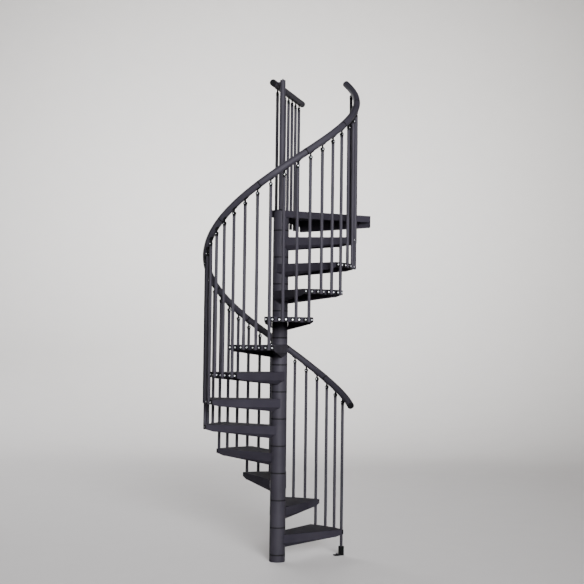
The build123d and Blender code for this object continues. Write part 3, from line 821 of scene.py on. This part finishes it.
@dataclass
class Swivels:
    """The hinged joints between balusters and rail: a cup, a knuckle on a bright bolt, and a saddle.

    A size whose name ends in sunk is how far a part reaches into the one that it joins.
    """

    climb: Climb
    nylon: Material
    zinc: Material
    cup_radius: float = 0.0134
    cup_height: float = 0.012
    cup_shoulder: float = 0.006
    cup_round: float = 0.002
    cup_sunk: float = 0.001
    knuckle_radius: float = 0.0148
    knuckle_width: float = 0.020
    knuckle_at: float = 0.0195
    knuckle_dish: float = 0.001
    knuckle_round: float = 0.0016
    tab_width: float = 0.013
    tab_depth: float = 0.012
    tab_sides: int = 16
    tab_levels: int = 4
    tab_sunk: float = 0.004
    saddle_downhill: float = 0.010
    saddle_uphill: float = 0.034
    saddle_thickness: float = 0.004
    saddle_spread: float = 32.0
    saddle_sunk: float = 0.0008
    bolt_radius: float = 0.0038
    bolt_height: float = 0.0022
    bolt_sunk: float = 0.0015

    def cup(self) -> Shell:
        """The cup over the baluster's end: a short lathe form with rounded rims, its base on z = 0."""
        r, h, base = self.cup_radius, self.cup_height, -self.cup_sunk
        profile = [(0, base), (r, base), (r, self.cup_shoulder), (0.7 * r, h), (0, h)]
        return Shell().lathe(rounded(profile, self.cup_round), sides=20)

    def knuckle(self) -> Shell:
        """The hinge barrel about Z, with rounded rims and dished faces, centred on the origin."""
        r, w = self.knuckle_radius, self.knuckle_width / 2
        face = w - self.knuckle_dish
        side = [(0, face), (0.5 * r, face), (0.55 * r, w), (r, w)]
        profile = [(x, -z) for x, z in side] + side[::-1]
        return Shell().lathe(rounded(profile, self.knuckle_round), sides=24)

    def bolt(self) -> Shell:
        """The hinge bolt about Z: a domed head on one side, and a nut with its thread end on the other."""
        r, w, h = self.bolt_radius, self.knuckle_width / 2, self.bolt_height
        root = w - self.bolt_sunk
        socket = [(0, w + 0.5 * h), (0.45 * r, w + 0.5 * h), (0.45 * r, w + h)]
        dome = [(0.8 * r, w + 0.85 * h), (r, w + 0.3 * h), (r, root), (0, root)]
        nut = [(0, -root), (r, -root), (r, -w - 0.9 * h), (0.8 * r, -w - 1.1 * h)]
        thread = [(0.5 * r, -w - 1.1 * h), (0.5 * r, -w - 1.6 * h), (0, -w - 1.6 * h)]
        made = Shell().lathe(socket + dome, sides=12, corner=[0, 1, 1, 0, 0, 0, 0])
        return made.lathe(nut + thread, sides=12, corner=[1, 1, 1, 1, 0, 0, 0])

    def tab(self, reach: float) -> Shell:
        """The flat leg from the knuckle up to the rail: a closed tube of one squarish oval section.

        At angle a the oval is sign(cos a) sqrt|cos a| and sign(sin a) sqrt|sin a| times its half sizes.

        Args:
            reach: the leg's height.

        Returns:
            The leg, standing on z = 0.
        """
        turn = np.arange(self.tab_sides) * TAU / self.tab_sides
        cosine, sine = np.cos(turn), np.sin(turn)
        level = np.concatenate([[0.0], np.linspace(0, reach, self.tab_levels), [reach]])
        full = np.ones(len(level))
        full[[0, -1]] = 0
        x = np.outer(full, np.sign(cosine) * np.abs(cosine) ** 0.5) * self.tab_width / 2
        y = np.outer(full, np.sign(sine) * np.abs(sine) ** 0.5) * self.tab_depth / 2
        z = np.repeat(level[:, None], self.tab_sides, axis=1)
        return Shell().grid(np.stack([x, y, z], axis=-1), around=True)

    def saddle(self) -> Shell:
        """The curved plate under the rail, in the rail's axes: X uphill, Y across, Z toward its top.

        A point at length u and angle v from straight below lies at radius R + t(1 - |v|^3)(1 - |u|^4) on the
        lower skin and just inside the rail on the upper one, with u and v counted from -1 to 1.
        """
        u, v = np.meshgrid(np.linspace(-1, 1, 13), np.linspace(-1, 1, 11), indexing="ij")
        middle = (self.saddle_uphill - self.saddle_downhill) / 2
        half = (self.saddle_uphill + self.saddle_downhill) / 2
        radius = self.climb.rail_radius
        swell = self.saddle_thickness * (1 - np.abs(v) ** 3) * (1 - u**4)
        angle = v * math.radians(self.saddle_spread) * np.sqrt(1 - 0.75 * np.abs(u) ** 5)

        def skin(r: Array) -> Array:
            """The plate's points at a radius from the rail's axis."""
            return np.stack([middle + u * half, r * np.sin(angle), -r * np.cos(angle)], axis=-1)

        lower, upper = skin(radius + swell), skin(np.full_like(u, radius - self.saddle_sunk))
        made = Shell().grid(lower).grid(upper[:, ::-1])
        made.grid(np.stack([lower[0], upper[0]])).grid(np.stack([lower[-1], upper[-1]]))
        made.grid(np.stack([lower[:, 0], upper[:, 0]])).grid(np.stack([lower[:, -1], upper[:, -1]]))
        return made

    def row(self, name: str, node: str, seats: Array, out: Array, slope: Array) -> None:
        """Makes the dark parts and the bright bolts of one row of swivels.

        The saddle sits where the upright through the baluster meets the rail's underside, which is
        R tan(slope) downhill of the rail's own cross section there.

        Args:
            name: how the names of both pieces start.
            node: the CAD node that the dark piece replaces.
            seats: the centres of the balusters' tops, shape (n, 3).
            out: level unit vectors square to the rail, shape (n, 3), or one for all.
            slope: the rail's slope at each seat, in radians.
        """
        radius, length = self.climb.rail_radius, self.climb.swivel_length
        along = np.cross(UP, out)
        hinge = seats + UP * self.knuckle_at
        reach = length - self.knuckle_at - radius / math.cos(float(np.max(slope))) + self.tab_sunk
        dark = self.cup().placed(placings(along, out, UP, seats))
        dark.joined(self.knuckle().placed(placings(along, UP, out, hinge)))
        dark.joined(self.tab(reach).placed(placings(along, out, UP, hinge)))
        uphill = along * np.cos(slope)[:, None] + UP * np.sin(slope)[:, None]
        contact = seats + UP * length - uphill * (radius * np.tan(slope))[:, None]
        dark.joined(self.saddle().placed(placings(uphill, -out, np.cross(uphill, -out), contact)))
        dark.piece(f"{name}_swivels", self.nylon, "black_plastic", node)
        bright = self.bolt().placed(placings(-along, UP, out, hinge))
        bright.piece(f"{name}_swivel_bolts", self.zinc)

    def build(self) -> None:
        """Makes the flight's swivels and the guard rail's, which stand for the CAD ones."""
        climb = self.climb
        azimuth = climb.balusters()
        out = radial(np.radians(azimuth))
        seats = out * climb.baluster_circle
        seats[:, 2] = climb.rail_height(azimuth) - climb.swivel_length
        self.row("flight", "baluster_swivels", seats, out, climb.rail_slope(azimuth))
        height = climb.guard_line - climb.swivel_length
        seats = climb.guard_points(climb.guard_runs(), climb.guard_offset, height)
        self.row("guard_rail", "guard_swivels", seats, climb.guard_out, np.zeros(len(seats)))


@dataclass
class Joinery:
    """The small joints: the hubs' welds, the column's discs, the balusters' plugs, the post's collar."""

    climb: Climb
    coat: Material
    nylon: Material
    pole_radius: float = 0.023
    bead_radius: float = 0.0024
    bead_half_turn: float = 84.0
    bead_points: int = 240
    ripple: float = 0.14
    ripple_mm: float = 3.0
    spacer_at: float = 0.0525
    spacer_height: float = 0.007
    spacer_lap: float = 0.0015
    spacer_lip: float = 0.0003
    plug_and_shadow_dot_height: float = 0.003
    plug_sunk: float = 0.001
    plug_and_shadow_dot_round: float = 0.001
    collar_form: tuple = ((-0.0005, 0), (0.013, 0), (0.013, 0.006), (0.004, 0.013), (-0.0005, 0.014))
    collar_round: float = 0.002

    def beads(self) -> None:
        """One weld bead round each hub where the tray's top meets it, on the side that the tray is on.

        The bead's centre runs at the hub's radius through azimuths within the half turn of the tray's, and
        its own radius swells by the ripple's share with the sine of the path over the ripple's length.
        """
        climb = self.climb
        turn = np.radians(np.linspace(-self.bead_half_turn, self.bead_half_turn, self.bead_points))
        out = radial(turn)
        path_mm = turn * climb.hub_radius * 1000
        radius = self.bead_radius * (1 + self.ripple * np.sin(TAU * path_mm / self.ripple_mm))
        bead = Shell().sweep(out * climb.hub_radius, out, UP, radius, sides=8)
        number = np.arange(climb.treads)
        ahead = radial(np.radians(climb.first_azimuth + number * climb.tread_turn))
        origin = UP * ((number + 1) * climb.rise)[:, None]
        bead.placed(placings(ahead, np.cross(UP, ahead), UP, origin)).piece("hub_weld_beads", self.coat)

    def spacers(self) -> None:
        """The black discs between the column's tubes, whose thin rims lap over both tube ends."""
        climb = self.climb
        bore, top = self.pole_radius + climb.gap, self.spacer_height
        seat, rim = climb.hub_radius - self.spacer_lip, climb.hub_radius + self.spacer_lip
        low, high = -self.spacer_lap, top + self.spacer_lap
        under = [(bore, 0), (seat, 0), (seat, low), (rim, low)]
        over = [(rim, high), (seat, high), (seat, top), (bore, top), (bore, 0)]
        origin = UP * (self.spacer_at + np.arange(climb.treads + 1) * climb.rise)[:, None]
        discs = Shell().lathe(under + over, sides=64).placed(standing(origin))
        discs.piece("column_ring_discs", self.nylon, "black_plastic", "column_spacers")

    def end_plugs(self) -> None:
        """The black plugs in the open lower ends of the balusters, slightly domed.

        Every baluster but the lowest ends below the lower one of the two treads that its clips join.
        """
        climb = self.climb
        index = np.arange(1, climb.count)
        flight = radial(np.radians(climb.balusters()[1:])) * climb.baluster_circle
        flight[:, 2] = -(-index // climb.per_tread) * climb.rise - climb.baluster_below
        height = climb.landing_top - climb.guard_below
        guard = climb.guard_points(climb.guard_runs(), climb.guard_offset, height)
        r, h, top = climb.baluster_radius, self.plug_and_shadow_dot_height, self.plug_sunk
        profile = [(0, -h), (0.75 * r, -0.8 * h), (0.96 * r, 0), (0.8 * r, top), (0, top)]
        plug_and_shadow_dot = Shell().lathe(rounded(profile, self.plug_and_shadow_dot_round), sides=20)
        plug_and_shadow_dot.placed(standing(np.concatenate([flight, guard]))).piece("baluster_end_plugs", self.nylon)

    def collar(self) -> None:
        """The dark collar at the foot of the post, which covers the nut on the pole's thread.

        Its form is given by distances out from the pole's face and up from the landing.
        """
        ring = rounded([(self.pole_radius + x, z) for x, z in self.collar_form], self.collar_round)
        ring[:, 1] += self.climb.landing_top - self.climb.gap
        Shell().lathe(np.concatenate([ring, ring[:1]]), sides=48).piece("post_collar", self.nylon)

    def build(self) -> None:
        """Makes the beads, the discs, the plugs and the collar."""
        self.beads()
        self.spacers()
        self.end_plugs()
        self.collar()


def dress(finishes: dict[str, Material]) -> None:
    """Gives every CAD node that shows its real finish.

    Args:
        finishes: the material of each of the record's slots.
    """
    for part in frame["record"]["subparts"]:
        made, finish = frame["nodes"][part["node"]], finishes[part["material_slot"]]
        if not made.material_slots:
            made.data.materials.append(finish)
        for holder in made.material_slots:
            holder.material = finish
        LOG.info("%s: %s", made.name, finish.name)


@dataclass(frozen=True)
class Softbox:
    """One rectangular soft light that faces a point, its beam's spread in degrees and its power in watts."""

    name: str
    at: Point
    toward: Point
    size: tuple[float, float]
    power: float
    shade: str
    spread: float = 180.0

    def hang(self) -> None:
        """Makes the lamp and links it into the scene."""
        lamp = bpy.data.lights.new(self.name, "AREA")
        lamp.shape = "RECTANGLE"
        lamp.size, lamp.size_y = self.size
        lamp.energy = self.power
        lamp.spread = math.radians(self.spread)
        lamp.color = linear(self.shade)[:3]
        made = bpy.data.objects.new(self.name, lamp)
        back = np.array(self.at, float) - np.array(self.toward, float)
        back = back / np.linalg.norm(back)
        side = np.cross(UP, back)
        side = side / np.linalg.norm(side)
        bpy.context.scene.collection.objects.link(made)
        place = placings(side, np.cross(back, side), back, np.array([self.at]))[0]
        made.matrix_world = Matrix(place.tolist())


@dataclass
class Studio:
    """The round backdrop, the soft lights and the camera."""

    floor: Material
    floor_radius: float = 8.0
    wall_radius: float = 18.0
    wall_height: float = 24.0
    wash_at: tuple[float, float] = (8.0, 13.0)
    wash_toward: tuple[float, float] = (17.6, 3.0)
    wash_size: tuple[float, float] = (9.0, 3.0)
    air_shade: str = "#c6c8cb"
    air_strength: float = 0.1
    camera_at: Point = (0.2005, -9.3254, 1.7931)
    yaw: float = 0.0114
    pitch: float = 0.0387
    roll: float = 0.0119
    lens: float = 71.354
    sensor: float = 36.0

    def backdrop(self) -> None:
        """A floor that curves up into a round wall by a quarter ellipse, so that no horizon shows."""
        turn, reach = np.linspace(0, math.pi / 2, 25), self.wall_radius - self.floor_radius
        bend = np.stack([self.floor_radius + reach * np.sin(turn), reach * (1 - np.cos(turn))], axis=-1)
        profile = np.concatenate([[(0.0, 0.0)], bend, [(self.wall_radius, self.wall_height)]])
        Shell().lathe(profile, sides=128).made("backdrop", self.floor, crease=60.0)

    def lights(self) -> None:
        """A wide key from the front right, one from behind, four that wash the wall, and a dim surround."""
        Softbox("key", (3.4, -14.0, 4.4), (0.0, 0.0, 2.8), (6.0, 4.5), 650, "#fafaff", 45.0).hang()
        Softbox("back", (-5.0, 9.0, 7.0), (0.0, 0.0, 2.0), (4.0, 4.0), 450, "#fbfbff").hang()
        for name, x, y, power in (
            ("rear_wash", 0, 1, 950),
            ("right_wash", 1, 0, 500),
            ("left_wash", -1, 0, 400),
            ("front_wash", 0, -1, 500),
        ):
            at, toward = ((x * out, y * out, up) for out, up in (self.wash_at, self.wash_toward))
            Softbox(name, at, toward, self.wash_size, power, "#fbfaf8", 100.0).hang()
        world = bpy.data.worlds.new("studio_air")
        world.use_nodes = True
        air = {"Color": linear(self.air_shade), "Strength": self.air_strength}
        wire(world.node_tree, world.node_tree.nodes["Background"], air)
        bpy.context.scene.world = world

    def camera(self) -> None:
        """The camera at the photograph's viewpoint, turned by yaw, pitch and roll."""
        cy, sy, cp, sp = math.cos(self.yaw), math.sin(self.yaw), math.cos(self.pitch), math.sin(self.pitch)
        ahead = np.array([-sy * cp, cy * cp, sp])
        right = np.array([cy, sy, 0.0])
        up = np.cross(right, ahead)
        x = math.cos(self.roll) * right + math.sin(self.roll) * up
        y = -math.sin(self.roll) * right + math.cos(self.roll) * up
        lens = bpy.data.cameras.new("viewpoint")
        lens.sensor_width = self.sensor
        lens.lens = self.lens
        made = bpy.data.objects.new("viewpoint", lens)
        bpy.context.scene.collection.objects.link(made)
        made.matrix_world = Matrix(placings(x, y, -ahead, np.array([self.camera_at]))[0].tolist())
        bpy.context.scene.camera = made

    def build(self) -> None:
        """Makes the backdrop, the lights and the camera."""
        self.backdrop()
        self.lights()
        self.camera()


def main() -> None:
    """Builds the stair's pieces in order."""
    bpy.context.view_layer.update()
    climb = Climb()
    tray = PowderCoat("powder_coat_on_trays", smooth=0.69, rough=0.79, edge_mm=4.0, ior=1.1).material()
    rail = PowderCoat("powder_coat_on_handrail").material()
    nylon = MouldedNylon("moulded_black_nylon").material()
    zinc = ZincPlate("bright_zinc_plate").material()
    finishes = {
        "column_coating": PowderCoat("powder_coat_on_column", edge_mm=0.8).material(),
        "tread_coating": tray,
        "landing_coating": tray,
        "baluster_coating": PowderCoat("powder_coat_on_balusters").material(),
        "handrail_coating": rail,
        "black_plastic": nylon,
    }
    dress(finishes)
    Rails(climb, rail, nylon).build()
    Swivels(climb, nylon, zinc).build()
    Fasteners(climb, zinc, nylon, tray).build()
    Joinery(climb, tray, nylon).build()
    Studio(StudioFloor("matt_pale_vinyl").material()).build()


if __name__ == "__main__":
    main()
